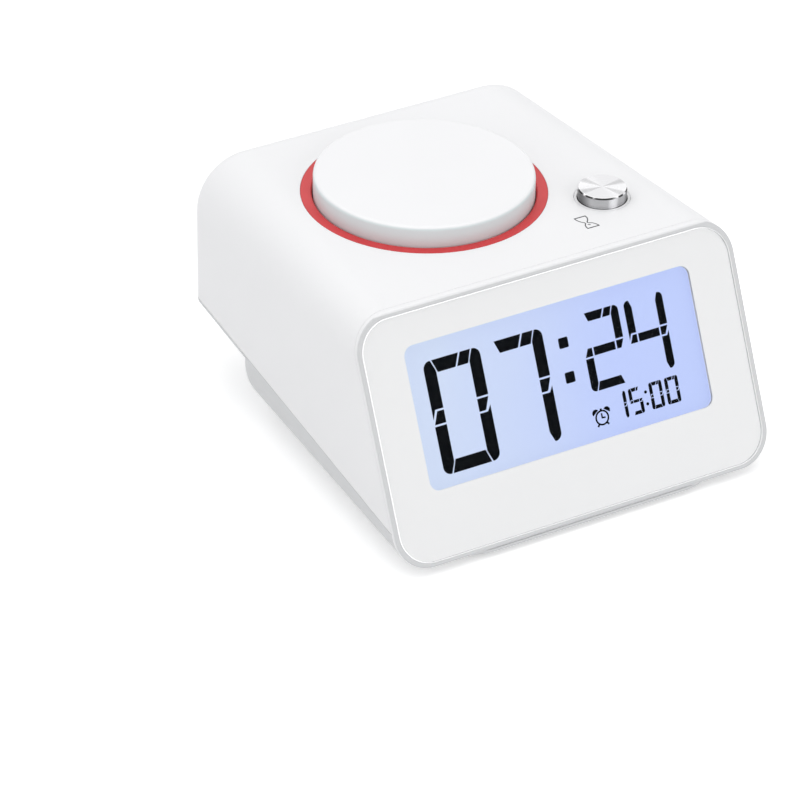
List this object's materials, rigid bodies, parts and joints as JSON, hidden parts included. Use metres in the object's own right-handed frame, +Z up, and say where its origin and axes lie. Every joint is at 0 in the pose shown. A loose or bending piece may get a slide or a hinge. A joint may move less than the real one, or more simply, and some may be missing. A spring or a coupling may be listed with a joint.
{
  "type": "bed shaker alarm clock",
  "caption": "Wedge-shaped bedside alarm clock: leaning display, large press-and-turn top knob in a light ring, metal nap button and a rear jack for a bed shaker.",
  "frame": {"origin": "on the surface that the feet stand on, under the middle of the clock's overall box", "axes": "+Z up; -Y out of the front, where the display is; +Y to the back, where the jacks are; +X to the right of someone who reads the display"},
  "size_m": [0.11, 0.1178, 0.0669],
  "materials": {
    "white_shell": "satin",
    "pale_grey_shell": "fine matte",
    "white_matte": "matte",
    "clear_lens": "clear, polished",
    "display_glass": "smooth",
    "light_guide": "satin",
    "red_diffuser": "satin",
    "polished_metal": "spun top, brushed side",
    "plated_steel": "bright plated",
    "grey_rubber": "matte",
    "black_plastic": "matte",
    "dark_grey_plastic": "matte",
    "circuit_board": "solder mask",
    "rubber_strip": "matte",
    "ribbon_film": "satin",
    "nickel_cell": "satin",
    "paper_cone": "matte",
    "magnet_iron": "plated",
    "brass_pin": "plated"
  },
  "bodies": {
    "clock": {"housing_shell": "white_shell", "base_tray": "pale_grey_shell", "rubber_feet": "grey_rubber", "front_bezel": "pale_grey_shell", "display_lens": "clear_lens", "lens_mask": "white_matte", "lcd_glass": "display_glass", "backlight_panel": "light_guide", "display_holder": "white_matte", "lcd_connector": "rubber_strip", "display_board": "circuit_board", "display_screws": "plated_steel", "knob_well": "dark_grey_plastic", "light_ring": "red_diffuser", "ring_led_board": "circuit_board", "ring_leds": "white_matte", "encoder_body": "dark_grey_plastic", "encoder_bushing": "plated_steel", "encoder_nut": "plated_steel", "nap_collar": "white_shell", "nap_switch": "black_plastic", "control_board": "circuit_board", "control_board_screws": "plated_steel", "main_board": "circuit_board", "main_board_screws": "plated_steel", "main_chip": "black_plastic", "power_capacitors": "dark_grey_plastic", "power_inductor": "magnet_iron", "board_link": "black_plastic", "ribbon_socket": "white_matte", "display_ribbon": "ribbon_film", "case_screws": "plated_steel", "usb_sockets": "plated_steel", "usb_tongues": "white_matte", "port_panel": "dark_grey_plastic", "dc_inlet": "black_plastic", "dc_inlet_pin": "brass_pin", "shaker_jack": "black_plastic", "speaker_frame": "plated_steel", "speaker_cone": "paper_cone", "speaker_magnet": "magnet_iron", "coin_cell": "nickel_cell", "battery_contact": "plated_steel", "battery_cup": "black_plastic"},
    "knob_press": {"encoder_plunger": "black_plastic"},
    "knob": {"knob_cap": "white_shell", "knob_hub": "black_plastic", "encoder_shaft": "plated_steel"},
    "nap": {"nap_button": "polished_metal", "nap_plunger": "black_plastic", "switch_actuator": "dark_grey_plastic"},
    "battery_cover": {"battery_door": "pale_grey_shell"}
  },
  "joints": [
    {"name": "knob_push", "type": "slide", "parent": "clock", "child": "knob_press", "axis": [0, 0, -1], "range_m": [0, 0.0008], "stiffness_N_per_m": 4000},
    {"name": "knob_turn", "type": "hinge", "parent": "knob_press", "child": "knob", "pos_m": [-0.0064, 0.01497, 0.055], "axis": [0, 0, 1], "continuous": true},
    {"name": "nap_push", "type": "slide", "parent": "clock", "child": "nap", "axis": [0, 0, -1], "range_m": [0, 0.0006], "stiffness_N_per_m": 3500},
    {"name": "battery_cover_turn", "type": "hinge", "parent": "clock", "child": "battery_cover", "pos_m": [-0.0178, -0.022, 0.002], "axis": [0, 0, -1], "range_deg": [0, 60]}
  ]
}
